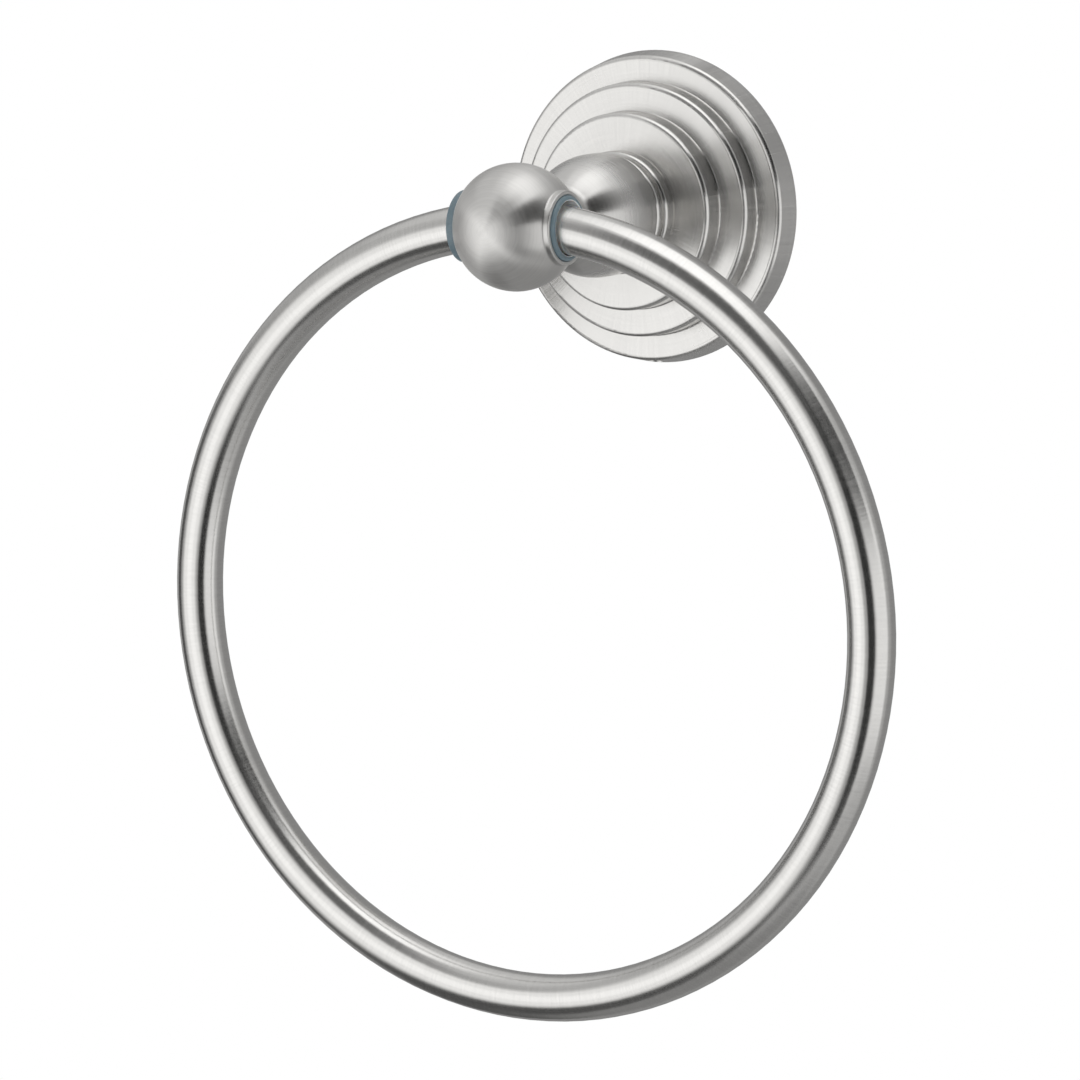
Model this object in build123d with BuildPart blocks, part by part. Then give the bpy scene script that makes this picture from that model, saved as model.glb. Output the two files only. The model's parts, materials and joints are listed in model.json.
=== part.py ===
"""Wall-mounted towel ring: a stepped flange, a turned post with a ball, and a ring that swings in the ball.

Millimetres. The origin is the centre of the wall face, +Z up, +Y into the wall, +X to the right.
Heights are measured from the wall, so a height h lies at y = -h.
"""

import os
from math import asin, cos, degrees, sin, sqrt

from build123d import *

# Driving sizes of the towel ring
RING_RADIUS = 78.0
TUBE_RADIUS = 4.75
TUBE_WALL = 1.0
RING_SEAM = 0.3

# Driving sizes of the wall flange, its tiers listed from the wall outwards
TIER_RADII = (31.35, 26.15, 20.3)
TIER_HEIGHTS = (5.8, 10.7, 16.2)
RIM_FLARE = 1.05
SHOULDER_RADIUS = 0.95
FACE_RISE = 0.12
FOOT_RADIUS = 0.3
BACK_EDGE = 0.4
FLANGE_WALL = 2.4
CAVITY_FILLET = 0.8

# Driving sizes of the post, from the flange to the ball
BASE_BEAD_RADIUS = 12.6
BASE_BEAD_LENGTH = 3.2
BASE_BEAD_ROUND = 0.8
CONTACT_CHAMFER = 0.25
GROOVE_RADIUS = 11.5
GROOVE_LENGTH = 0.9
RIM_BEAD_RADIUS = 12.25
RIM_BEAD_LENGTH = 2.1
RIM_BEAD_ROUND = 1.0
DOME_GAP_RADIUS = 11.8
DOME_GAP_LENGTH = 0.6
DOME_RADIUS = 12.6
DOME_BACK_LENGTH = 3.0
DOME_EDGE_ROUND = 0.3
WAIST_RADIUS = 6.6
WAIST_LENGTH = 6.6
WAIST_FILLET = 2.2
BALL_RADIUS = 12.8
BALL_HEIGHT = 58.0

# Driving sizes of the ball's collar and of the sleeve that lines its bore
BORE_RADIUS = 5.5
SLEEVE_WALL = 1.0
SLEEVE_CLEARANCE = 0.02
SLEEVE_PROUD = 0.65
SLEEVE_END_ROUND = 0.6
SLEEVE_MOUTH_CHAMFER = 0.12
HEAD_RADIUS = 7.25
HEAD_THICKNESS = 1.9
HEAD_RIM_ROUND = 0.3
HEAD_SEAT_DEPTH = 2.6
HEAD_SEAT_EDGE = 0.25
COLLAR_RADIUS = 7.45
COLLAR_LENGTH = 1.27
COLLAR_FILLET = 0.5
COLLAR_LIP_ROUND = 0.3

# Driving sizes of the joint between post and flange
SPIGOT_RADIUS = 6.0
SPIGOT_ACROSS_FLATS = 9.8
SPIGOT_SHORTFALL = 0.2
SPIGOT_CLEARANCE = 0.1
POST_SCREW_RADIUS = 3.0
POST_SCREW_LENGTH = 17.0
POST_SCREW_HEAD_RADIUS = 5.6
POST_SCREW_HEAD_HEIGHT = 3.2
POST_SCREW_HEAD_ROUND = 1.6
POST_SCREW_END_CHAMFER = 0.6
CROSS_WIDTH = 1.1
CROSS_SPAN = 5.8
CROSS_DEPTH = 1.9
TAP_RUNOUT = 3.0
THREAD_CLEARANCE = 0.02
WASHER_RADIUS = 8.0
WASHER_THICKNESS = 1.2
WASHER_CLEARANCE = 0.2
WASHER_EDGE = 0.2

# Driving sizes of the wall bracket
BRACKET_CLEARANCE = 0.3
BRACKET_HEIGHT = 5.8
BRACKET_EDGE = 0.5
BRACKET_WEB = 2.2
BRACKET_RIM = 3.8
BRACKET_BAR_WIDTH = 12.0
BRACKET_BAR_HEIGHT = 4.2
BRACKET_POCKET_FILLET = 1.5
WALL_SCREW_SPACING = 26.0
WALL_SCREW_RADIUS = 2.3
WALL_SCREW_SINK_RADIUS = 4.4
WALL_SCREW_SINK_ANGLE = 90.0

# Driving sizes of the set screw, its boss in the flange and its pocket in the bracket's rim
SET_SCREW_RADIUS = 2.0
SET_SCREW_HEIGHT = 2.9
SET_SCREW_SINK = 0.8
SET_SCREW_POINT = 1.4
SET_SCREW_MOUTH_CHAMFER = 0.3
SOCKET_ACROSS_FLATS = 2.0
SOCKET_DEPTH = 2.2
TIP_POCKET_DEPTH = 2.0
TIP_POCKET_CLEARANCE = 0.2
BOSS_WIDTH = 9.0
BOSS_SETBACK = 0.5

# Flange sizes that follow
rim_radius = TIER_RADII[0] + RIM_FLARE
face_heights = [height + FACE_RISE for height in TIER_HEIGHTS]
cavity_radii = [radius - FLANGE_WALL for radius in TIER_RADII]
cavity_heights = [height - FLANGE_WALL for height in TIER_HEIGHTS]
plate_back = cavity_heights[-1]
post_base = face_heights[-1]

# Post sizes that follow
base_bead_end = post_base + BASE_BEAD_LENGTH
groove_end = base_bead_end + GROOVE_LENGTH
rim_bead_end = groove_end + RIM_BEAD_LENGTH
dome_start = rim_bead_end + DOME_GAP_LENGTH
dome_middle = dome_start + DOME_BACK_LENGTH
ball_meets_waist = BALL_HEIGHT - sqrt(BALL_RADIUS**2 - WAIST_RADIUS**2)
dome_meets_waist = ball_meets_waist - WAIST_LENGTH
dome_front_length = (dome_meets_waist - dome_middle) / sqrt(1 - (WAIST_RADIUS / DOME_RADIUS) ** 2)
ball_meets_collar = sqrt(BALL_RADIUS**2 - COLLAR_RADIUS**2)
collar_reach = ball_meets_collar + COLLAR_LENGTH
head_seat_reach = BALL_RADIUS - HEAD_SEAT_DEPTH
spigot_length = post_base - plate_back - SPIGOT_SHORTFALL
spigot_end = post_base - spigot_length

# Sleeve and ring sizes that follow, with the tube's bow shared equally above and below the bore's axis
sleeve_radius = BORE_RADIUS + SLEEVE_WALL
sleeve_end = collar_reach + SLEEVE_PROUD
head_face = head_seat_reach + HEAD_THICKNESS
tube_bow = RING_RADIUS - sqrt(RING_RADIUS**2 - max(sleeve_end, head_face) ** 2)
ring_centre = (0, -BALL_HEIGHT, tube_bow / 2 - RING_RADIUS)
half_seam = asin(RING_SEAM / 2 / RING_RADIUS)

# Fixing sizes that follow
washer_back = plate_back - WASHER_THICKNESS
screw_head_back = washer_back - POST_SCREW_HEAD_HEIGHT
screw_end = washer_back + POST_SCREW_LENGTH
bracket_radius = cavity_radii[1] - BRACKET_CLEARANCE
set_screw_mouth = TIER_RADII[0] - SET_SCREW_SINK
set_screw_tip = bracket_radius - TIP_POCKET_DEPTH
boss_inner = cavity_radii[1] + CAVITY_FILLET
boss_outer = cavity_radii[0] + FLANGE_WALL / 2

# Reference planes and axes
turning_plane = Plane(origin=(0, 0, 0), x_dir=(0, 0, -1), z_dir=(1, 0, 0))
ball_centre = (0, -BALL_HEIGHT, 0)
bore_axis = Axis(ball_centre, (1, 0, 0))
bore_plane = Plane(origin=ball_centre, x_dir=(1, 0, 0), z_dir=(0, -1, 0))
ring_axis = Axis(ring_centre, (0, 1, 0))
seam_plane = Plane(
    origin=ring_centre,
    x_dir=(sin(half_seam), 0, cos(half_seam)),
    z_dir=(cos(half_seam), 0, -sin(half_seam)),
)


def wall_plane(height):
    """A plane parallel to the wall at this height, facing away from the wall."""
    return Plane.XZ.offset(height)


def turned(start, end, radius, mode=Mode.ADD):
    """A stretch of a turned profile, from one height to another and out to a radius."""
    with Locations((0, -start)):
        Rectangle(radius, end - start, align=(Align.MIN, Align.MAX), mode=mode)


def corner(profile, radius, height):
    """The corner of a turned profile that lies at a radius and height."""
    return profile.vertices().sort_by_distance((radius, -height, 0))[0]


def keyed_disc(radius, across_flats):
    """A disc with two flats, which can't turn in a hole of its own shape."""
    Circle(radius)
    Rectangle(across_flats, 2 * radius, mode=Mode.INTERSECT)


# Wall flange: three tiers with rounded shoulders, the first one flared towards the wall, hollow behind
with BuildPart() as wall_flange:
    with BuildSketch(turning_plane) as flange_profile:
        with BuildLine():
            front = -TIER_HEIGHTS[0]
            Polyline((0, 0), (rim_radius, 0), (TIER_RADII[0], front), (0, front), close=True)
        make_face()
        for radius, height in zip(TIER_RADII[1:], TIER_HEIGHTS[1:]):
            turned(0, height, radius)
        for radius, height in zip(TIER_RADII, TIER_HEIGHTS):
            fillet(corner(flange_profile, radius, height), SHOULDER_RADIUS)
        for radius, face in zip(TIER_RADII, face_heights):
            turned(0, face, radius - SHOULDER_RADIUS)
        for radius, face in zip(TIER_RADII[1:], face_heights):
            fillet(corner(flange_profile, radius, face), FOOT_RADIUS)
        chamfer(corner(flange_profile, rim_radius, 0), BACK_EDGE)
    revolve(axis=Axis.Y)
    with BuildSketch(turning_plane) as cavity_profile:
        for radius, height in zip(cavity_radii, cavity_heights):
            turned(0, height, radius)
        for radius, height in zip(cavity_radii, cavity_heights):
            fillet(corner(cavity_profile, radius, height), CAVITY_FILLET)
    revolve(axis=Axis.Y, mode=Mode.SUBTRACT)
    with BuildSketch(wall_plane(BOSS_SETBACK)):
        with Locations((0, -(boss_inner + boss_outer) / 2)):
            Rectangle(BOSS_WIDTH, boss_outer - boss_inner)
    extrude(amount=cavity_heights[0] + FLANGE_WALL / 2 - BOSS_SETBACK)
    with BuildSketch(Plane.XY.offset(-rim_radius)):
        with Locations((0, -SET_SCREW_HEIGHT)):
            Circle(SET_SCREW_RADIUS + THREAD_CLEARANCE)
    extrude(amount=rim_radius - cavity_radii[1] + SET_SCREW_RADIUS, mode=Mode.SUBTRACT)
    with BuildSketch(wall_plane(plate_back)):
        keyed_disc(SPIGOT_RADIUS + SPIGOT_CLEARANCE, SPIGOT_ACROSS_FLATS + 2 * SPIGOT_CLEARANCE)
    extrude(amount=post_base - plate_back, mode=Mode.SUBTRACT)
wall_flange.part.label = "wall_flange"

# Post: beads, dome, waist and ball turned in one, then the collar, bore, spigot and tapped hole
with BuildPart() as post:
    with BuildSketch(turning_plane) as post_profile:
        turned(post_base, base_bead_end, BASE_BEAD_RADIUS)
        chamfer(corner(post_profile, BASE_BEAD_RADIUS, post_base), CONTACT_CHAMFER)
        fillet(corner(post_profile, BASE_BEAD_RADIUS, base_bead_end), BASE_BEAD_ROUND)
        turned(groove_end, rim_bead_end, RIM_BEAD_RADIUS)
        fillet(corner(post_profile, RIM_BEAD_RADIUS, groove_end), RIM_BEAD_ROUND / 2)
        fillet(corner(post_profile, RIM_BEAD_RADIUS, rim_bead_end), RIM_BEAD_ROUND)
        turned(dome_start, dome_middle, DOME_RADIUS)
        fillet(corner(post_profile, DOME_RADIUS, dome_start), DOME_EDGE_ROUND)
        turned(base_bead_end, groove_end, GROOVE_RADIUS)
        turned(rim_bead_end, dome_start, DOME_GAP_RADIUS)
        with BuildSketch(mode=Mode.ADD):
            with Locations((0, -dome_middle)):
                Ellipse(DOME_RADIUS, dome_front_length, rotation=180)
            turned(dome_middle, dome_middle + dome_front_length, DOME_RADIUS, mode=Mode.INTERSECT)
        turned(dome_middle, BALL_HEIGHT, WAIST_RADIUS)
        fillet(corner(post_profile, WAIST_RADIUS, dome_meets_waist), WAIST_FILLET)
    revolve(axis=Axis.Y)
    with BuildSketch(bore_plane) as ball_profile:
        Circle(BALL_RADIUS)
        Rectangle(collar_reach, COLLAR_RADIUS, align=(Align.MIN, Align.MIN))
        collar_root = ball_profile.vertices().sort_by_distance((ball_meets_collar, COLLAR_RADIUS, 0))[0]
        fillet(collar_root, COLLAR_FILLET)
        Rectangle(2 * BALL_RADIUS, BALL_RADIUS, align=(Align.CENTER, Align.MIN), mode=Mode.INTERSECT)
    revolve(axis=bore_axis)
    waist_circles = post.edges().filter_by(GeomType.CIRCLE)
    fillet(waist_circles.sort_by_distance((0, -ball_meets_waist, WAIST_RADIUS))[0], WAIST_FILLET)
    with BuildSketch(Plane.YZ.offset(-head_seat_reach)):
        with Locations((-BALL_HEIGHT, 0)):
            Circle(BALL_RADIUS)
    extrude(amount=-BALL_RADIUS, mode=Mode.SUBTRACT)
    fillet(post.faces().sort_by(Axis.X)[0].edges(), HEAD_SEAT_EDGE)
    with BuildSketch(Plane.YZ):
        with Locations((-BALL_HEIGHT, 0)):
            Circle(sleeve_radius + SLEEVE_CLEARANCE)
    extrude(amount=BALL_RADIUS, both=True, mode=Mode.SUBTRACT)
    fillet(post.faces().sort_by(Axis.X)[-1].edges(), COLLAR_LIP_ROUND)
    with BuildSketch(wall_plane(spigot_end)):
        keyed_disc(SPIGOT_RADIUS, SPIGOT_ACROSS_FLATS)
    extrude(amount=spigot_length)
    with BuildSketch(wall_plane(spigot_end)):
        Circle(POST_SCREW_RADIUS + THREAD_CLEARANCE)
    extrude(amount=screw_end + TAP_RUNOUT - spigot_end, mode=Mode.SUBTRACT)
post.part.label = "post"

# Ring sleeve: plastic lining of the ball's bore, with a head on its left end
with BuildPart() as ring_sleeve:
    with BuildSketch(bore_plane) as sleeve_profile:
        with Locations((-head_seat_reach, BORE_RADIUS)):
            Rectangle(head_seat_reach + sleeve_end, SLEEVE_WALL, align=(Align.MIN, Align.MIN))
            Rectangle(HEAD_THICKNESS, HEAD_RADIUS - BORE_RADIUS, align=(Align.MAX, Align.MIN))
        head_rim = sleeve_profile.vertices().group_by(Axis.Y)[-1]
        fillet(head_rim, HEAD_RIM_ROUND)
        fillet(sleeve_profile.vertices().sort_by_distance((sleeve_end, sleeve_radius, 0))[0], SLEEVE_END_ROUND)
        bore_edges = sleeve_profile.vertices().group_by(Axis.Y)[0]
        chamfer([bore_edges.sort_by(Axis.X)[0], bore_edges.sort_by(Axis.X)[-1]], SLEEVE_MOUTH_CHAMFER)
    revolve(axis=bore_axis)
ring_sleeve.part.label = "ring_sleeve"

# Towel ring: a tube bent round until its two ends meet in the middle of the ball
with BuildPart() as towel_ring:
    with BuildSketch(seam_plane):
        with Locations((RING_RADIUS, 0)):
            Circle(TUBE_RADIUS)
            Circle(TUBE_RADIUS - TUBE_WALL, mode=Mode.SUBTRACT)
    revolve(axis=ring_axis, revolution_arc=360 - 2 * degrees(half_seam))
towel_ring.part.label = "towel_ring"

# Post screw: pan head against the washer, shank in the post
with BuildPart() as post_screw:
    with BuildSketch(turning_plane) as screw_profile:
        turned(screw_head_back, washer_back, POST_SCREW_HEAD_RADIUS)
        fillet(corner(screw_profile, POST_SCREW_HEAD_RADIUS, screw_head_back), POST_SCREW_HEAD_ROUND)
        turned(washer_back, screw_end, POST_SCREW_RADIUS)
        chamfer(corner(screw_profile, POST_SCREW_RADIUS, screw_end), POST_SCREW_END_CHAMFER)
    revolve(axis=Axis.Y)
    with BuildSketch(wall_plane(screw_head_back)):
        Rectangle(CROSS_WIDTH, CROSS_SPAN)
        Rectangle(CROSS_SPAN, CROSS_WIDTH)
    extrude(amount=CROSS_DEPTH, mode=Mode.SUBTRACT)
post_screw.part.label = "post_screw"

# Screw washer: spans the keyed hole in the flange
with BuildPart() as screw_washer:
    with BuildSketch(wall_plane(washer_back)):
        Circle(WASHER_RADIUS)
        Circle(POST_SCREW_RADIUS + WASHER_CLEARANCE, mode=Mode.SUBTRACT)
    extrude(amount=WASHER_THICKNESS)
    chamfer(screw_washer.edges().filter_by(GeomType.CIRCLE).group_by(SortBy.RADIUS)[-1], WASHER_EDGE)
screw_washer.part.label = "screw_washer"

# Wall bracket: a ribbed disc that fits the flange's middle tier and is screwed to the wall
with BuildPart() as wall_bracket:
    with BuildSketch(wall_plane(0)):
        Circle(bracket_radius)
    extrude(amount=BRACKET_HEIGHT)
    chamfer(wall_bracket.faces().sort_by(Axis.Y)[0].edges(), BRACKET_EDGE)
    with BuildSketch(wall_plane(BRACKET_BAR_HEIGHT)):
        Circle(bracket_radius - BRACKET_RIM)
    extrude(amount=BRACKET_HEIGHT - BRACKET_BAR_HEIGHT, mode=Mode.SUBTRACT)
    with BuildSketch(wall_plane(BRACKET_WEB)) as pockets:
        Circle(bracket_radius - BRACKET_RIM)
        Rectangle(BRACKET_BAR_WIDTH, 2 * bracket_radius, mode=Mode.SUBTRACT)
        fillet(pockets.vertices(), BRACKET_POCKET_FILLET)
    extrude(amount=BRACKET_BAR_HEIGHT - BRACKET_WEB, mode=Mode.SUBTRACT)
    with Locations(wall_plane(BRACKET_BAR_HEIGHT)):
        with GridLocations(0, WALL_SCREW_SPACING, 1, 2):
            CounterSinkHole(WALL_SCREW_RADIUS, WALL_SCREW_SINK_RADIUS, counter_sink_angle=WALL_SCREW_SINK_ANGLE)
    with BuildSketch(Plane.XY.offset(-bracket_radius)):
        with Locations((0, -SET_SCREW_HEIGHT)):
            Circle(SET_SCREW_RADIUS + TIP_POCKET_CLEARANCE)
    extrude(amount=TIP_POCKET_DEPTH, mode=Mode.SUBTRACT)
wall_bracket.part.label = "wall_bracket"

# Set screw: locks the flange to the bracket from below
with BuildPart() as set_screw:
    with BuildSketch(Plane.XY.offset(-set_screw_mouth)):
        with Locations((0, -SET_SCREW_HEIGHT)):
            Circle(SET_SCREW_RADIUS)
    extrude(amount=set_screw_mouth - set_screw_tip)
    chamfer(set_screw.faces().sort_by(Axis.Z)[-1].edges(), SET_SCREW_POINT)
    chamfer(set_screw.faces().sort_by(Axis.Z)[0].edges(), SET_SCREW_MOUTH_CHAMFER)
    with BuildSketch(Plane.XY.offset(-set_screw_mouth)):
        with Locations((0, -SET_SCREW_HEIGHT)):
            RegularPolygon(SOCKET_ACROSS_FLATS / 2, 6, major_radius=False)
    extrude(amount=SOCKET_DEPTH, mode=Mode.SUBTRACT)
set_screw.part.label = "set_screw"

os.makedirs("parts", exist_ok=True)
pieces = (wall_flange, post, ring_sleeve, towel_ring, post_screw, screw_washer, wall_bracket, set_screw)
for piece in pieces:
    export_step(piece.part, f"parts/{piece.part.label}.step")
    print(piece.part.label, len(piece.part.solids()), round(piece.part.volume, 1))
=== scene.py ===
"""The looks of a wall-mounted towel ring, laid out as an add-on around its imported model.

Lengths are in metres, in the model's own frame: +Z up, +Y into the wall, origin at the centre of the wall face.
"""

import json
from math import cos, pi, radians, sin
from typing import NamedTuple

import bmesh
import bpy
from bpy.props import FloatProperty, FloatVectorProperty, PointerProperty
from bpy.types import Operator, Panel, PropertyGroup
from mathutils import Matrix, Vector

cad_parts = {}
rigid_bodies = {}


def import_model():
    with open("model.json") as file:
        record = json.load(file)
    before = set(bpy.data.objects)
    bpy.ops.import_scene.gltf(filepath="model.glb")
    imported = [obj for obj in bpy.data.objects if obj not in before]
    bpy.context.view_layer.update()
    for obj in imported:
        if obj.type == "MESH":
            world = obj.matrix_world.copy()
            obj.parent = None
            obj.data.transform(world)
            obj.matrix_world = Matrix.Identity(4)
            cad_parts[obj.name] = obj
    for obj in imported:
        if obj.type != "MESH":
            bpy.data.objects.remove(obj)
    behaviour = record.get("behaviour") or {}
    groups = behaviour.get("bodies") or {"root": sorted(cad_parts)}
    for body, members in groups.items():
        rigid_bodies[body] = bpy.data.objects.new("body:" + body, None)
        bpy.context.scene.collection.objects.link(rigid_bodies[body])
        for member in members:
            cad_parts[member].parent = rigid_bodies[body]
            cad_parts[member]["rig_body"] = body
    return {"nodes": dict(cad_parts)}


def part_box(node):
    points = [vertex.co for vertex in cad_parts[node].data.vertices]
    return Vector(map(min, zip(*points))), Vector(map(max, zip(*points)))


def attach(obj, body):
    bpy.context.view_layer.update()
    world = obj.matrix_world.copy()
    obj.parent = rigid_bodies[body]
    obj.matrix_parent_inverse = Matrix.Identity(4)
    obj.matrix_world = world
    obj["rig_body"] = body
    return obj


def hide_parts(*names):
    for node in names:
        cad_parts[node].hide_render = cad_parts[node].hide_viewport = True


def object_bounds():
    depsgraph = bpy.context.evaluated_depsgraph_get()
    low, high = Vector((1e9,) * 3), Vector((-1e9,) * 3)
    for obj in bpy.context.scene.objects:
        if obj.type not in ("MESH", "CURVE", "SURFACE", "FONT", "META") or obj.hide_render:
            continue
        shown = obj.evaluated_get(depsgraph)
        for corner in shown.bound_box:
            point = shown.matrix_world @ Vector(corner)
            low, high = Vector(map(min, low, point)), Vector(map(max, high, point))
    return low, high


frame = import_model()
cad_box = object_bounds()

bl_info = {
    "name": "Towel Ring Looks",
    "version": (1, 0, 0),
    "blender": (4, 5, 0),
    "location": "3D View > Sidebar > Towel Ring",
    "description": "Brushed nickel, plastic and plated steel for a wall-mounted towel ring, and its studio",
    "category": "Object",
}

# Local axes of the turned pieces: Z runs out of the wall along the axis that they are turned about
TURNED_AXES = Matrix(((1, 0, 0), (0, 0, -1), (0, 1, 0)))
# Local axes of the ring: Z as above, and X straight down, so that the pattern's seam lies inside the ball
RING_AXES = Matrix(((0, 1, 0), (0, 0, -1), (-1, 0, 0)))

# Socket places on Blender's Mix node when it mixes colours
MIX_FACTOR = 0
MIX_FIRST = 6
MIX_SECOND = 7
MIX_RESULT = 2

# Turn of the drawn-out highlights, in full turns: across the circles round the piece's Z axis, or along them
ACROSS = 0.25
ALONG = 0.0

# Nickel: its shades in the brush lines, what lines and patches add to its roughness, and the patches' size
NICKEL_SHADES = (0.87, 1.13)
NICKEL_LINE_ROUGHNESS = 0.1
NICKEL_PATCH_ROUGHNESS = 0.06
NICKEL_PATCH_SIZE = 0.012

# Flange: how much of its line pattern is turned lines and how much streaks straight out from the axis, streaks to
# a radian, and their length
TURNED_SHARE = 0.6
STREAK_SHARE = 0.9
STREAKS_TO_A_RADIAN = 50.0
STREAK_LENGTH = 0.02

# Post: heights over the wall, in lengths of the post, where the foot's finish ends and the ball's begins
FOOT_FINISH_END = 0.48
BALL_FINISH_START = 0.8

# Sleeve: its shades, its patches, how far the painted light that makes the bore paler reaches from the axis, and
# how it lets light in
SLEEVE_SHADES = (0.85, 1.15)
SLEEVE_PATCH_SIZE = 0.002
SLEEVE_PATCH_DEPTH = 0.00001
SLEEVE_PATCH_ROUGHNESS = 0.1
SLEEVE_PAINTED_LIGHT_REACH = 0.0056
SLEEVE_PAINTED_LIGHT_EDGE = 0.0001
SLEEVE_IOR = 1.5
SLEEVE_DEPTH_SHARE = 0.5
SLEEVE_DEPTHS = (0.001, 0.0013, 0.0016)

# Zinc plating: its shades and roughness, and its patches and specks
ZINC_SHADES = (0.88, 1.06)
ZINC_ROUGHNESS = 0.26
ZINC_PATCH_SIZE = 0.0015
ZINC_PATCH_ROUGHNESS = 0.1
ZINC_SPECK_SIZE = 0.0003
ZINC_SPECK_ROUGHNESS = 0.08
ZINC_SPECK_DEPTH = 0.000008

# Cast alloy: its shades and roughness, and its patches and grains
ALLOY_SHADES = (0.85, 1.05)
ALLOY_ROUGHNESS = 0.42
ALLOY_PATCH_SIZE = 0.006
ALLOY_GRAIN_ROUGHNESS = 0.16
ALLOY_GRAIN_DEPTH = 0.00004

# How strong the noise's finer layers are, the background's colour, and the camera's sensor in millimetres
NOISE_ROUGHNESS = 0.6
WHITE = (1, 1, 1)
SENSOR_WIDTH = 36.0


class NickelSettings(PropertyGroup):
    """The satin nickel of the flange, the post and the ring."""

    colour: FloatVectorProperty(
        name="Colour", description="Colour of the nickel plating", subtype="COLOR",
        default=(0.78, 0.77, 0.75), min=0, max=1,
    )
    turned_roughness: FloatProperty(
        name="Turned roughness", description="Roughness of the flange and of the post's foot and dome",
        subtype="FACTOR", default=0.25, min=0, max=1,
    )
    ball_roughness: FloatProperty(
        name="Ball roughness", description="Roughness of the ball at the post's end",
        subtype="FACTOR", default=0.34, min=0, max=1,
    )
    flange_stretch: FloatProperty(
        name="Flange stretch", description="How far the flange's highlights are drawn out across its lines",
        subtype="FACTOR", default=0.82, min=0, max=1,
    )
    post_stretch: FloatProperty(
        name="Post stretch", description="How far the post's highlights are drawn out across its lines",
        subtype="FACTOR", default=0.87, min=0, max=1,
    )
    ring_roughness: FloatProperty(
        name="Ring roughness", description="Roughness of the ring", subtype="FACTOR", default=0.23, min=0, max=1,
    )
    ring_stretch: FloatProperty(
        name="Ring stretch", description="How far highlights are drawn out along the ring",
        subtype="FACTOR", default=0.75, min=0, max=1,
    )
    line_spacing: FloatProperty(
        name="Line spacing", description="Distance between brush lines", unit="LENGTH",
        default=0.0004, min=0.00005, max=0.002,
    )
    line_depth: FloatProperty(
        name="Line depth", description="Depth of the brush lines", unit="LENGTH",
        default=0.000008, min=0, max=0.0001, precision=6,
    )


class SleeveSettings(PropertyGroup):
    """The plastic sleeve in the ball."""

    colour: FloatVectorProperty(
        name="Colour", description="Colour of the plastic", subtype="COLOR",
        default=(0.15, 0.205, 0.235), min=0, max=1,
    )
    # Painted light: a pale colour on the bore's wall that brightens the shaded gap round the ring
    bore_colour: FloatVectorProperty(
        name="Bore painted light", description="Colour of the plastic inside the bore", subtype="COLOR",
        default=(0.9, 0.92, 0.93), min=0, max=1,
    )
    roughness: FloatProperty(
        name="Roughness", description="Roughness of the plastic", subtype="FACTOR", default=0.28, min=0, max=1,
    )


class FixingSettings(PropertyGroup):
    """The screws, the washer and the wall bracket."""

    zinc_colour: FloatVectorProperty(
        name="Zinc colour", description="Colour of the zinc plating", subtype="COLOR",
        default=(0.62, 0.64, 0.66), min=0, max=1,
    )
    alloy_colour: FloatVectorProperty(
        name="Alloy colour", description="Colour of the cast bracket", subtype="COLOR",
        default=(0.50, 0.50, 0.495), min=0, max=1,
    )
    grain: FloatProperty(
        name="Casting grain", description="Size of the grain of the cast bracket", unit="LENGTH",
        default=0.0006, min=0.0001, max=0.005,
    )


class StudioSettings(PropertyGroup):
    """The camera, the lamps and the floor."""

    azimuth: FloatProperty(
        name="Azimuth", description="Camera's angle round the object", subtype="ANGLE", default=radians(30.61),
    )
    elevation: FloatProperty(
        name="Elevation", description="Camera's angle above the horizon", subtype="ANGLE", default=radians(7.17),
    )
    roll: FloatProperty(
        name="Roll", description="Camera's turn about its line of sight", subtype="ANGLE", default=radians(-1.25),
    )
    distance: FloatProperty(
        name="Distance", description="From the camera to the point it aims at", unit="LENGTH", default=1.219,
    )
    aim: FloatVectorProperty(
        name="Aim", description="Point that the camera aims at", subtype="TRANSLATION",
        default=(-0.00719, -0.0393, -0.06518),
    )
    lens: FloatProperty(
        name="Lens", description="Focal length in millimetres on a 36 mm sensor", default=200, min=1,
    )
    fill: FloatProperty(
        name="Fill", description="Brightness of the even light from all round", default=0.9, min=0, max=2,
    )
    floor_gap: FloatProperty(
        name="Floor gap", description="From the bottom of the ring down to the floor", unit="LENGTH",
        default=1.2, min=0.01,
    )


class LooksSettings(PropertyGroup):
    """Everything that a user may change."""

    nickel: PointerProperty(type=NickelSettings)
    sleeve: PointerProperty(type=SleeveSettings)
    fixings: PointerProperty(type=FixingSettings)
    studio: PointerProperty(type=StudioSettings)


class Wire:
    """The output of a node, for use in Python sums: each operator adds a Math node."""

    def __init__(self, recipe, socket):
        self.recipe = recipe
        self.socket = socket

    def maths(self, operation, *values):
        return self.recipe.add("ShaderNodeMath", {"operation": operation}, dict(enumerate(values)))

    def __add__(self, other):
        return self.maths("ADD", self, other)

    def __sub__(self, other):
        return self.maths("SUBTRACT", self, other)

    def __rsub__(self, other):
        return self.maths("SUBTRACT", other, self)

    def __mul__(self, other):
        return self.maths("MULTIPLY", self, other)

    def __truediv__(self, other):
        return self.maths("DIVIDE", self, other)

    def __pow__(self, other):
        return self.maths("POWER", self, other)

    __radd__ = __add__
    __rmul__ = __mul__


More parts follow.
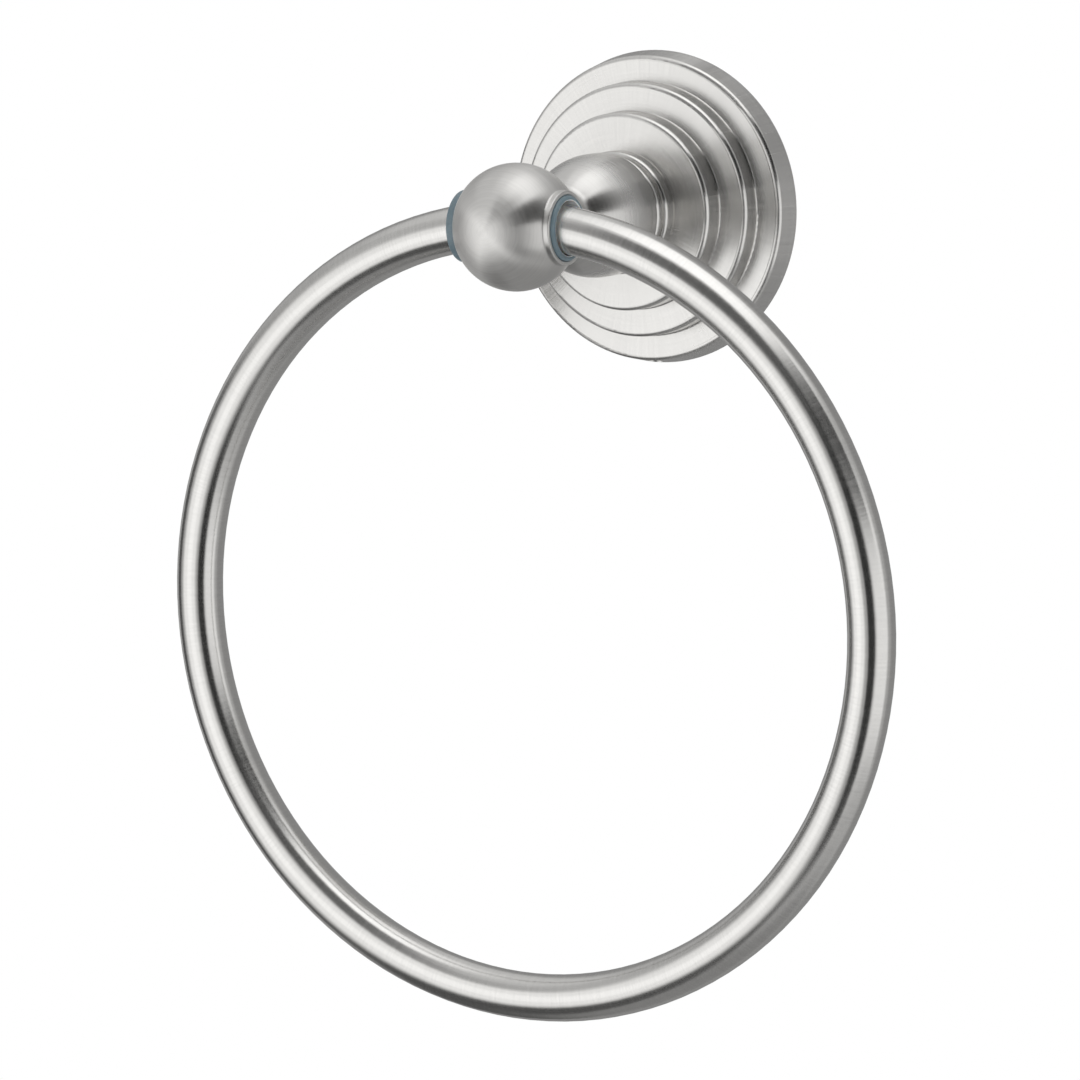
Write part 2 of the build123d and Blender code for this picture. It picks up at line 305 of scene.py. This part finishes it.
class Recipe:
    """The node tree of one material or world."""

    def __init__(self, owner):
        owner.use_nodes = True
        self.tree = owner.node_tree
        self.tree.nodes.clear()

    def add(self, kind, settings=(), inputs=(), output=0):
        """Adds a node, makes its settings, fills or links its inputs, and returns one of its outputs."""
        node = self.tree.nodes.new(kind)
        for name, value in dict(settings).items():
            setattr(node, name, value)
        for name, value in dict(inputs).items():
            if isinstance(value, Wire):
                self.tree.links.new(value.socket, node.inputs[name])
            else:
                node.inputs[name].default_value = value
        return Wire(self, node.outputs[output]) if node.outputs else None

    def place(self):
        """A point of the surface in the piece's own axes, as three wires."""
        point = self.add("ShaderNodeTexCoord", output="Object")
        return [self.add("ShaderNodeSeparateXYZ", inputs={0: point}, output=name) for name in "XYZ"]

    def turned_place(self):
        """A point of the surface as x, y and z, and its distance from the piece's Z axis."""
        x, y, z = self.place()
        return x, y, z, (x * x + y * y) ** 0.5

    def vector(self, x, y, z):
        return self.add("ShaderNodeCombineXYZ", inputs={0: x, 1: y, 2: z})

    def noise(self, vector, detail, across=0.0):
        """Noise from 0 to 1 with features about one unit across; the fourth direction is named across."""
        return self.add(
            "ShaderNodeTexNoise",
            {"noise_dimensions": "4D"},
            {"Vector": vector, "W": across, "Scale": 1.0, "Detail": detail, "Roughness": NOISE_ROUGHNESS},
        )

    def mixed(self, share, first, second):
        """A colour between two colours."""
        return self.add(
            "ShaderNodeMix",
            {"data_type": "RGBA"},
            {MIX_FACTOR: share, MIX_FIRST: first, MIX_SECOND: second},
            MIX_RESULT,
        )

    def shaded(self, share, colour, shades):
        """A colour that goes from its darkest shade to its lightest."""
        darkest, lightest = shades
        return self.mixed(share, opaque(colour, darkest), opaque(colour, lightest))

    def bumped(self, height, depth):
        """Surface normals that follow a height from 0 to 1, of this depth."""
        return self.add("ShaderNodeBump", inputs={"Height": height, "Distance": depth, "Strength": 1.0})

    def finish(self, **inputs):
        """The surface shader, with its sockets given by name with underscores for spaces."""
        sockets = {name.replace("_", " "): value for name, value in inputs.items()}
        shader = self.add("ShaderNodeBsdfPrincipled", inputs=sockets)
        self.add("ShaderNodeOutputMaterial", inputs={"Surface": shader})


def opaque(colour, level=1.0):
    """A colour with full alpha, made lighter or darker."""
    return (*[channel * level for channel in colour], 1.0)


def turned_lines(recipe, spacing):
    """Lines that run round the piece's Z axis, crossing its profile at this spacing."""
    x, y, z, radius = recipe.turned_place()
    around = recipe.vector(x / radius, y / radius, z / spacing)
    return recipe.noise(around, detail=3.0, across=radius / spacing)


def streaks(recipe, to_a_radian, length):
    """Streaks that run straight out from the piece's Z axis."""
    x, y, _, radius = recipe.turned_place()
    around = recipe.vector(x / radius * to_a_radian, y / radius * to_a_radian, 0.0)
    return recipe.noise(around, detail=4.0, across=radius / length)


def ring_lines(recipe, spacing, ring_radius, tube_radius):
    """Lines that run round the tube, spaced along the ring."""
    x, y, z, radius = recipe.turned_place()
    along = recipe.add("ShaderNodeMath", {"operation": "ARCTAN2"}, {0: y, 1: x}) * (ring_radius / spacing)
    section = recipe.vector(along, (radius - ring_radius) / tube_radius, z / tube_radius)
    return recipe.noise(section, detail=3.0)


def cloudy(recipe, size):
    """A slow change over the surface, with patches of this size."""
    x, y, z = recipe.place()
    return recipe.noise(recipe.vector(x / size, y / size, z / size), detail=1.0)


def brushed_nickel(name, nickel, lines_of, roughness_of, stretch, turn):
    """Satin nickel: brush lines, and on the flange radial streaks, that mark its colour, roughness and relief,
    and drawn-out highlights.
    """
    material = bpy.data.materials.new(name)
    recipe = Recipe(material)
    roughness = roughness_of(recipe)
    lines = lines_of(recipe, nickel.line_spacing)
    patches = cloudy(recipe, NICKEL_PATCH_SIZE)
    smoothest = roughness - (NICKEL_LINE_ROUGHNESS + NICKEL_PATCH_ROUGHNESS) / 2
    recipe.finish(
        Base_Color=recipe.shaded(lines, nickel.colour, NICKEL_SHADES),
        Metallic=1.0,
        Roughness=smoothest + lines * NICKEL_LINE_ROUGHNESS + patches * NICKEL_PATCH_ROUGHNESS,
        Anisotropic=stretch,
        Anisotropic_Rotation=turn,
        Normal=recipe.bumped(lines, nickel.line_depth),
    )
    return material


def sleeve_plastic(sleeve):
    """Smooth moulded plastic with a faint cloudiness, and painted light that makes it paler in the bore, where
    the gap round the ring lies in shade.
    """
    material = bpy.data.materials.new("sleeve_plastic")
    recipe = Recipe(material)
    patches = cloudy(recipe, SLEEVE_PATCH_SIZE)
    low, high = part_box("ring_sleeve")
    centre = frame["nodes"]["ring_sleeve"].matrix_world.inverted() @ ((low + high) / 2)
    _, y, z = recipe.place()
    # Painted light: near the bore's axis the plastic's colour gives way to the pale bore colour, which stands in
    # for light in the shaded gap round the ring
    painted_light_share = recipe.add(
        "ShaderNodeMapRange",
        inputs={
            "Value": ((y - centre.y) ** 2 + (z - centre.z) ** 2) ** 0.5,
            "From Min": SLEEVE_PAINTED_LIGHT_REACH + SLEEVE_PAINTED_LIGHT_EDGE,
            "From Max": SLEEVE_PAINTED_LIGHT_REACH,
            "To Min": 0.0,
            "To Max": 1.0,
        },
    )
    plastic = recipe.shaded(patches, sleeve.colour, SLEEVE_SHADES)
    recipe.finish(
        Base_Color=recipe.mixed(painted_light_share, plastic, opaque(sleeve.bore_colour)),
        Roughness=sleeve.roughness + patches * SLEEVE_PATCH_ROUGHNESS,
        IOR=SLEEVE_IOR,
        Subsurface_Weight=SLEEVE_DEPTH_SHARE,
        Subsurface_Radius=SLEEVE_DEPTHS,
        Normal=recipe.bumped(patches, SLEEVE_PATCH_DEPTH),
    )
    return material


def zinc_plate(fixings):
    """Bright zinc plating with the uneven sheen that barrel plating leaves."""
    material = bpy.data.materials.new("zinc_plate")
    recipe = Recipe(material)
    patches = cloudy(recipe, ZINC_PATCH_SIZE)
    specks = cloudy(recipe, ZINC_SPECK_SIZE)
    recipe.finish(
        Base_Color=recipe.shaded(patches, fixings.zinc_colour, ZINC_SHADES),
        Metallic=1.0,
        Roughness=ZINC_ROUGHNESS + patches * ZINC_PATCH_ROUGHNESS + specks * ZINC_SPECK_ROUGHNESS,
        Normal=recipe.bumped(specks, ZINC_SPECK_DEPTH),
    )
    return material


def cast_alloy(fixings):
    """The dull, slightly grainy skin of a casting."""
    material = bpy.data.materials.new("cast_alloy")
    recipe = Recipe(material)
    patches = cloudy(recipe, ALLOY_PATCH_SIZE)
    grains = cloudy(recipe, fixings.grain)
    recipe.finish(
        Base_Color=recipe.shaded(patches, fixings.alloy_colour, ALLOY_SHADES),
        Metallic=1.0,
        Roughness=ALLOY_ROUGHNESS + grains * ALLOY_GRAIN_ROUGHNESS,
        Normal=recipe.bumped(grains, ALLOY_GRAIN_DEPTH),
    )
    return material


def piece_for(node, name, axes, material):
    """A piece that stands for a node, with its own axes, so that highlights are drawn out about its Z axis."""
    cad = frame["nodes"][node]
    low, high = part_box(node)
    centre = (low + high) / 2
    own_axes = Matrix.Translation(Vector((0, 0, centre.z))) @ axes.to_4x4()
    mesh = cad.data.copy()
    mesh.name = name
    mesh.transform(own_axes.inverted())
    mesh.materials.clear()
    mesh.materials.append(material)
    piece = bpy.data.objects.new(name, mesh)
    bpy.context.scene.collection.objects.link(piece)
    piece.matrix_world = own_axes
    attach(piece, cad["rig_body"])
    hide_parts(node)


def dress(node, material):
    """Gives a node that keeps its own mesh a better material."""
    for slot in frame["nodes"][node].material_slots:
        slot.material = material


def settings_of(context):
    """The settings that the panel shows."""
    return context.scene.towel_ring_looks


class TOWELRING_OT_wall_flange(Operator):
    """Make the turned wall flange of brushed nickel"""

    bl_idname = "towel_ring.wall_flange"
    bl_label = "Wall flange"

    def execute(self, context):
        nickel = settings_of(context).nickel

        def lines(recipe, spacing):
            turned = turned_lines(recipe, spacing) * TURNED_SHARE
            outward = streaks(recipe, STREAKS_TO_A_RADIAN, STREAK_LENGTH) * STREAK_SHARE
            return turned + outward - (TURNED_SHARE + STREAK_SHARE - 1) / 2

        def roughness(recipe):
            return nickel.turned_roughness

        finish = brushed_nickel("flange_nickel", nickel, lines, roughness, nickel.flange_stretch, ACROSS)
        piece_for("wall_flange", "brushed_flange", TURNED_AXES, finish)
        return {"FINISHED"}


class TOWELRING_OT_post(Operator):
    """Make the turned post with its dome and ball of brushed nickel"""

    bl_idname = "towel_ring.post"
    bl_label = "Post"

    def execute(self, context):
        nickel = settings_of(context).nickel
        low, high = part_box("post")
        length = high.y - low.y

        def roughness(recipe):
            return recipe.add(
                "ShaderNodeMapRange",
                inputs={
                    "Value": recipe.place()[2],
                    "From Min": FOOT_FINISH_END * length,
                    "From Max": BALL_FINISH_START * length,
                    "To Min": nickel.turned_roughness,
                    "To Max": nickel.ball_roughness,
                },
            )

        finish = brushed_nickel("post_nickel", nickel, turned_lines, roughness, nickel.post_stretch, ACROSS)
        piece_for("post", "brushed_post", TURNED_AXES, finish)
        return {"FINISHED"}


class TOWELRING_OT_ring(Operator):
    """Make the hanging ring of nickel tube, brushed across the tube"""

    bl_idname = "towel_ring.ring"
    bl_label = "Ring"

    def execute(self, context):
        nickel = settings_of(context).nickel
        low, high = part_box("towel_ring")
        tube_radius = (high.y - low.y) / 2
        ring_radius = (high.x - low.x) / 2 - tube_radius

        def lines(recipe, spacing):
            return ring_lines(recipe, spacing, ring_radius, tube_radius)

        def roughness(recipe):
            return nickel.ring_roughness

        finish = brushed_nickel("ring_nickel", nickel, lines, roughness, nickel.ring_stretch, ALONG)
        piece_for("towel_ring", "brushed_ring", RING_AXES, finish)
        return {"FINISHED"}


class TOWELRING_OT_sleeve(Operator):
    """Give the sleeve in the ball its plastic"""

    bl_idname = "towel_ring.sleeve"
    bl_label = "Sleeve"

    def execute(self, context):
        dress("ring_sleeve", sleeve_plastic(settings_of(context).sleeve))
        return {"FINISHED"}


class TOWELRING_OT_fixings(Operator):
    """Give the screws, the washer and the wall bracket their metals"""

    bl_idname = "towel_ring.fixings"
    bl_label = "Fixings"

    def execute(self, context):
        fixings = settings_of(context).fixings
        zinc = zinc_plate(fixings)
        for node in ("post_screw", "screw_washer", "set_screw"):
            dress(node, zinc)
        dress("wall_bracket", cast_alloy(fixings))
        return {"FINISHED"}


class Box(NamedTuple):
    """A soft lamp box: its direction, distance, width and height, and how bright it looks."""

    name: str
    azimuth: float
    elevation: float
    distance: float
    width: float
    height: float
    brightness: float


class Card(NamedTuple):
    """A bent card with soft edges that only reflections show. Its distance is in metres, its angles in degrees.

    A tent card is placed by azimuth and elevation. A post card is placed by its turn about the post (0 is +X and
    90 is up) and its swing away from the post's end (0 is -Y and 180 is the wall).
    """

    name: str
    left: float
    right: float
    low: float
    high: float
    grey: float
    soft: float
    distance: float


# Lamps, cards that the turned forms of the post show as strips, and cards all round up to the tent behind them
LAMP_BOXES = (
    Box("left_box", -28, -7, 0.78, 0.6, 0.5, 0.18),
    Box("top_box", 80, 73, 0.85, 0.75, 0.75, 0.36),
)
POST_CARDS = (
    Card("dark_strip", 12, 52, 24, 168, 0.01, 3, 0.9),
    Card("bright_strip", 55, 92, 50, 126, 1.0, 4, 0.95),
)
TENT_CARDS = (
    Card("camera_card", 16, 46, -44, 22, 0.03, 4, 1.0),
    Card("high_camera_card", -19, 32, 21, 58, 0.11, 8, 0.5),
    Card("key_card", -62, 2, -36, 22, 1.0, 14, 0.8),
    Card("high_front_card", -72, 0, 22, 44, 0.5, 10, 1.01),
    Card("right_card", 52, 108, -32, 20, 0.92, 12, 1.02),
    Card("left_card", -102, -77, -40, 14, 0.08, 8, 1.03),
    Card("low_front_card", -130, 8, -66, -40, 0.08, 10, 1.04),
    Card("overhead_card", -180, 180, 66, 90, 0.95, 10, 1.05),
    Card("high_left_card", -165, 0, 38, 66, 0.62, 10, 1.06),
    Card("high_right_card", 56, 130, 40, 66, 0.6, 10, 1.07),
    Card("back_card", 128, 240, -60, 52, 0.28, 16, 1.08),
    Card("table_card", -180, 180, -90, -60, 0.24, 8, 1.1),
    Card("tent", -180, 180, -90, 90, 0.42, 0, 1.2),
)

# The cards' mesh, in degrees: the size of its faces, and how low and high a card can reach
CARD_STEP = 6.0
LOWEST = -90
HIGHEST = 90

# The floor: from its middle to its edge, how far its middle matches the white background, and its colour
FLOOR_REACH = 2.5
FLOOR_GLOW = 0.75
FLOOR_COLOUR = (0.9, 0.9, 0.9)


def towards(azimuth, elevation):
    """The direction of an azimuth and elevation in radians. Azimuth 0 is -Y and 90 degrees is +X."""
    return Vector((sin(azimuth) * cos(elevation), -cos(azimuth) * cos(elevation), sin(elevation)))


def off_the_post(turn, swing):
    """The direction of a turn about the post and a swing away from its end, in radians."""
    return Vector((sin(swing) * cos(turn), -cos(swing), sin(swing) * sin(turn)))


def object_centre():
    return (cad_box[0] + cad_box[1]) / 2


def facing(back, aim, distance):
    """The place, and the turn without roll, of a thing that looks at a point from the direction called back."""
    return Matrix.Translation(aim + back * distance) @ back.to_track_quat("Z", "Y").to_matrix().to_4x4()


def place_camera(studio):
    """A camera that aims at a point, turned about its line of sight."""
    data = bpy.data.cameras.new("photo_camera")
    data.lens = studio.lens
    data.sensor_width = SENSOR_WIDTH
    camera = bpy.data.objects.new("photo_camera", data)
    bpy.context.scene.collection.objects.link(camera)
    back = towards(studio.azimuth, studio.elevation)
    roll = Matrix.Rotation(studio.roll, 4, "Z")
    camera.matrix_world = facing(back, Vector(studio.aim), studio.distance) @ roll
    bpy.context.scene.camera = camera


def seen_directly(recipe):
    """1 for the rays that show the background: from the camera, or off metal and glass."""
    kinds = ("Is Camera Ray", "Is Glossy Ray", "Is Transmission Ray")
    camera, glossy, through = [recipe.add("ShaderNodeLightPath", output=kind) for kind in kinds]
    return recipe.add("ShaderNodeMath", {"operation": "ADD", "use_clamp": True}, {0: camera + glossy, 1: through})


def light_world(studio):
    """White all round for the background, and an even fill for the light."""
    world = bpy.data.worlds.new("studio_world")
    bpy.context.scene.world = world
    recipe = Recipe(world)
    colour = recipe.mixed(seen_directly(recipe), opaque(WHITE, studio.fill), opaque(WHITE))
    background = recipe.add("ShaderNodeBackground", inputs={"Color": colour, "Strength": 1.0})
    recipe.add("ShaderNodeOutputWorld", inputs={"Surface": background})


def hang_lamp(box):
    """A rectangular lamp that faces the object and looks as bright as its box says."""
    data = bpy.data.lights.new(box.name, "AREA")
    data.shape = "RECTANGLE"
    data.size = box.width
    data.size_y = box.height
    data.energy = box.brightness * pi * box.width * box.height
    lamp = bpy.data.objects.new(box.name, data)
    bpy.context.scene.collection.objects.link(lamp)
    back = towards(radians(box.azimuth), radians(box.elevation))
    lamp.matrix_world = facing(back, object_centre(), box.distance)
    lamp.visible_camera = False


def angles_between(start, end):
    """Angles from start to end, evenly spaced and close together."""
    count = max(1, round((end - start) / CARD_STEP))
    return [start + (end - start) * i / count for i in range(count + 1)]


def bend_card(card, direction_of, centre):
    """A mesh bent round a centre, with its edges half the soft width beyond the card's own."""
    columns = angles_between(card.left - card.soft / 2, card.right + card.soft / 2)
    rows = angles_between(max(card.low - card.soft / 2, LOWEST), min(card.high + card.soft / 2, HIGHEST))
    mesh = bpy.data.meshes.new(card.name)
    form = bmesh.new()
    corners = [
        [form.verts.new(centre + direction_of(radians(x), radians(y)) * card.distance) for x in columns]
        for y in rows
    ]
    layer = form.loops.layers.uv.new("angles")
    for i in range(len(rows) - 1):
        for j in range(len(columns) - 1):
            around = ((i, j), (i, j + 1), (i + 1, j + 1), (i + 1, j))
            face = form.faces.new([corners[row][column] for row, column in around])
            for loop, (row, column) in zip(face.loops, around):
                loop[layer].uv = (columns[column], rows[row])
    form.to_mesh(mesh)
    form.free()
    return mesh


def card_material(card):
    """A plain glow that fades out towards the card's edges."""
    material = bpy.data.materials.new(card.name)
    material.cycles.emission_sampling = "NONE"
    recipe = Recipe(material)
    surface = recipe.add("ShaderNodeEmission", inputs={"Color": opaque(WHITE, card.grey)})
    if card.soft:
        angles = recipe.add("ShaderNodeTexCoord", output="UV")
        across, up = [recipe.add("ShaderNodeSeparateXYZ", inputs={0: angles}, output=name) for name in "XY"]
        sides = [across - card.left, card.right - across]
        if card.low > LOWEST:
            sides.append(up - card.low)
        if card.high < HIGHEST:
            sides.append(card.high - up)
        nearest = sides[0]
        for side in sides[1:]:
            nearest = nearest.maths("MINIMUM", nearest, side)
        share = recipe.add(
            "ShaderNodeMapRange",
            {"interpolation_type": "SMOOTHSTEP"},
            {
                "Value": nearest,
                "From Min": -card.soft / 2,
                "From Max": card.soft / 2,
                "To Min": 0.0,
                "To Max": 1.0,
            },
        )
        clear = recipe.add("ShaderNodeBsdfTransparent")
        surface = recipe.add("ShaderNodeMixShader", inputs={0: share, 1: clear, 2: surface})
    recipe.add("ShaderNodeOutputMaterial", inputs={"Surface": surface})
    return material


def hang_card(card, direction_of, centre):
    """A card round the object, which only the reflections in the metal show."""
    mesh = bend_card(card, direction_of, centre)
    mesh.materials.append(card_material(card))
    piece = bpy.data.objects.new(card.name, mesh)
    bpy.context.scene.collection.objects.link(piece)
    piece.visible_camera = False
    piece.visible_diffuse = False
    piece.visible_shadow = False


def lay_floor(studio):
    """A wide pale floor under the object. It meets the white background, and keeps the object's shadow."""
    mesh = bpy.data.meshes.new("floor")
    form = bmesh.new()
    bmesh.ops.create_grid(form, x_segments=8, y_segments=8, size=FLOOR_REACH)
    form.to_mesh(mesh)
    form.free()
    material = bpy.data.materials.new("pale_floor")
    material.cycles.emission_sampling = "NONE"
    recipe = Recipe(material)
    matt = recipe.add("ShaderNodeBsdfDiffuse", inputs={"Color": opaque(FLOOR_COLOUR)})
    white = recipe.add("ShaderNodeEmission", inputs={"Color": opaque(WHITE)})
    x, y, _ = recipe.place()
    fade = FLOOR_GLOW + (1 - FLOOR_GLOW) * (x * x + y * y) / FLOOR_REACH**2
    share = seen_directly(recipe) * fade
    both = recipe.add("ShaderNodeMixShader", inputs={0: share, 1: matt, 2: white})
    recipe.add("ShaderNodeOutputMaterial", inputs={"Surface": both})
    mesh.materials.append(material)
    floor = bpy.data.objects.new("floor", mesh)
    bpy.context.scene.collection.objects.link(floor)
    floor.location.z = cad_box[0].z - studio.floor_gap


class TOWELRING_OT_studio(Operator):
    """Set up the camera, the lamps, the floor and the cards that the metal reflects"""

    bl_idname = "towel_ring.studio"
    bl_label = "Studio"

    def execute(self, context):
        studio = settings_of(context).studio
        place_camera(studio)
        light_world(studio)
        for box in LAMP_BOXES:
            hang_lamp(box)
        for card in POST_CARDS:
            hang_card(card, off_the_post, Vector())
        for card in TENT_CARDS:
            hang_card(card, towards, object_centre())
        lay_floor(studio)
        context.scene.view_settings.view_transform = "Standard"
        return {"FINISHED"}


class TOWELRING_PT_looks(Panel):
    """The towel ring's settings and the steps that use them"""

    bl_idname = "TOWELRING_PT_looks"
    bl_label = "Towel Ring"
    bl_space_type = "VIEW_3D"
    bl_region_type = "UI"
    bl_category = "Towel Ring"

    def draw(self, context):
        looks = settings_of(context)
        for group in (looks.nickel, looks.sleeve, looks.fixings, looks.studio):
            box = self.layout.box()
            for name in group.__annotations__:
                box.prop(group, name)
        for step in STEPS:
            self.layout.operator(step.bl_idname)


SETTINGS = (NickelSettings, SleeveSettings, FixingSettings, StudioSettings, LooksSettings)
STEPS = (
    TOWELRING_OT_wall_flange,
    TOWELRING_OT_post,
    TOWELRING_OT_ring,
    TOWELRING_OT_sleeve,
    TOWELRING_OT_fixings,
    TOWELRING_OT_studio,
)
CLASSES = (*SETTINGS, *STEPS, TOWELRING_PT_looks)


def register():
    for cls in CLASSES:
        bpy.utils.register_class(cls)
    bpy.types.Scene.towel_ring_looks = PointerProperty(type=LooksSettings)


def unregister():
    del bpy.types.Scene.towel_ring_looks
    for cls in reversed(CLASSES):
        bpy.utils.unregister_class(cls)


def main():
    """Builds every piece in turn."""
    register()
    bpy.ops.towel_ring.wall_flange()
    bpy.ops.towel_ring.post()
    bpy.ops.towel_ring.ring()
    bpy.ops.towel_ring.sleeve()
    bpy.ops.towel_ring.fixings()
    bpy.ops.towel_ring.studio()


if __name__ == "__main__":
    main()
